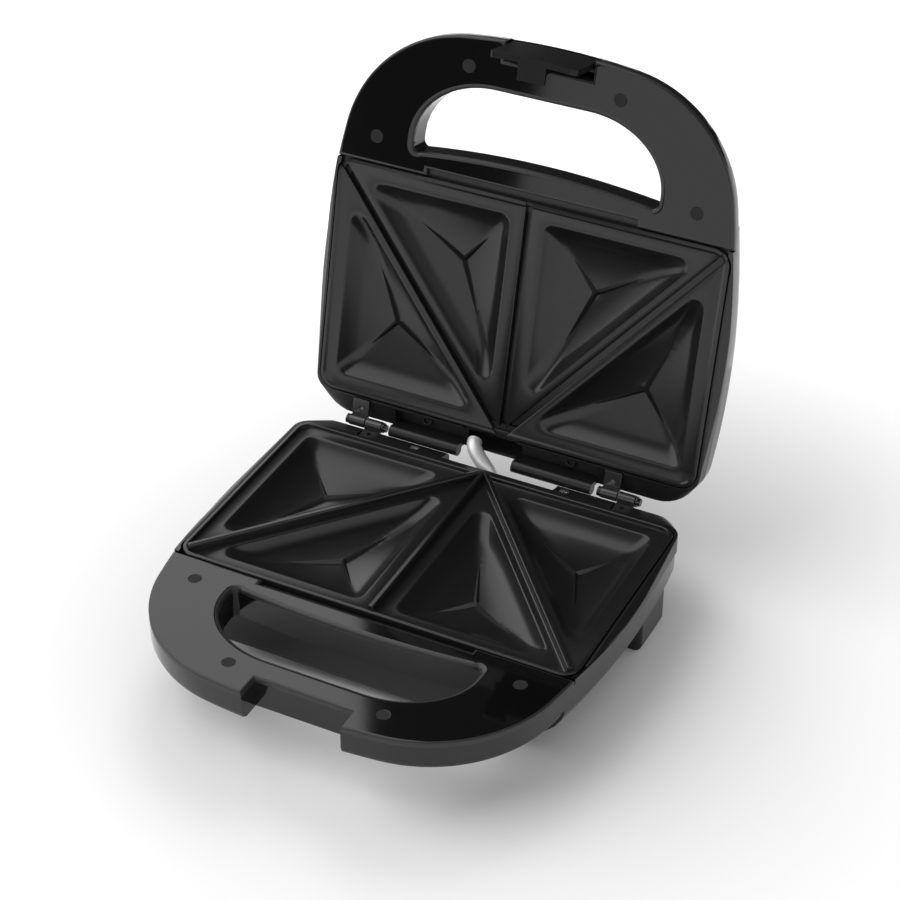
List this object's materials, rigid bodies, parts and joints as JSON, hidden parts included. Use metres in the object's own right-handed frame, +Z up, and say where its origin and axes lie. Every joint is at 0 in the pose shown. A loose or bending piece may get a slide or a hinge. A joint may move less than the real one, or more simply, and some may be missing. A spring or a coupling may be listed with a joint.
{
  "type": "sandwich toaster",
  "caption": "Sandwich toaster with hinged lid open, triangular pockets in non-stick plates, split loop handle with finger opening and a sprung latch",
  "frame": {"origin": "middle of the bounding box in X and Y, on the table plane under the foot pads, with the lid open", "axes": "+X to the right seen from the handle side, +Y from the handle towards the hinge, +Z up"},
  "size_m": [0.2308, 0.2903, 0.269],
  "materials": {
    "moulded_black": "gloss",
    "gloss_black": "gloss",
    "frame_grey": "satin",
    "nonstick": "satin",
    "element_steel": "satin",
    "sheet_steel": "satin",
    "screw_steel": "satin",
    "hinge_steel": "satin",
    "pin_chrome": "polished",
    "conduit_steel": "satin",
    "plug_grey": "satin",
    "pad_rubber": "matte",
    "ceramic": "matte",
    "terminal_white": "matte",
    "wire_red": "satin",
    "board_brown": "matte",
    "lens_red": "gloss"
  },
  "bodies": {
    "base": {"lower_shell": "moulded_black", "lower_frame": "frame_grey", "lower_handle_cover": "gloss_black", "lower_plate": "nonstick", "lower_heater": "element_steel", "lower_reflector": "sheet_steel", "lower_clamps": "sheet_steel", "lower_plate_screws": "screw_steel", "lower_cover_screws": "screw_steel", "lower_screw_plugs": "plug_grey", "lower_case_screws": "screw_steel", "lower_hinge_straps": "hinge_steel", "lower_hinge_screws": "screw_steel", "frame_screws": "screw_steel", "foot_pads": "pad_rubber", "thermostat": "ceramic", "thermal_fuse": "ceramic", "terminal_block": "terminal_white", "lower_wiring": "wire_red", "cord_gland": "moulded_black", "hinge_pins": "pin_chrome", "conduit": "conduit_steel"},
    "lid": {"upper_shell": "moulded_black", "upper_frame": "frame_grey", "upper_handle_cover": "gloss_black", "upper_plate": "nonstick", "upper_heater": "element_steel", "upper_reflector": "sheet_steel", "upper_clamps": "sheet_steel", "upper_plate_screws": "screw_steel", "upper_cover_screws": "screw_steel", "upper_screw_plugs": "plug_grey", "upper_case_screws": "screw_steel", "upper_hinge_straps": "hinge_steel", "upper_hinge_screws": "screw_steel", "lamp_board": "board_brown", "indicator_lenses": "lens_red", "upper_wiring": "wire_red", "latch_pin": "pin_chrome", "latch_spring": "element_steel"},
    "latch": {"latch_clip": "gloss_black"}
  },
  "joints": [
    {"name": "lid_hinge", "type": "hinge", "parent": "base", "child": "lid", "pos_m": [0, 0.0775, 0.0484], "axis": [1, 0, 0], "range_deg": [0, 103.5]},
    {"name": "latch_hinge", "type": "hinge", "parent": "lid", "child": "latch", "pos_m": [0.0013, 0.13689, 0.25679], "axis": [-1, 0, 0], "range_deg": [-4, 22], "stiffness_Nm_per_rad": 0.15}
  ]
}
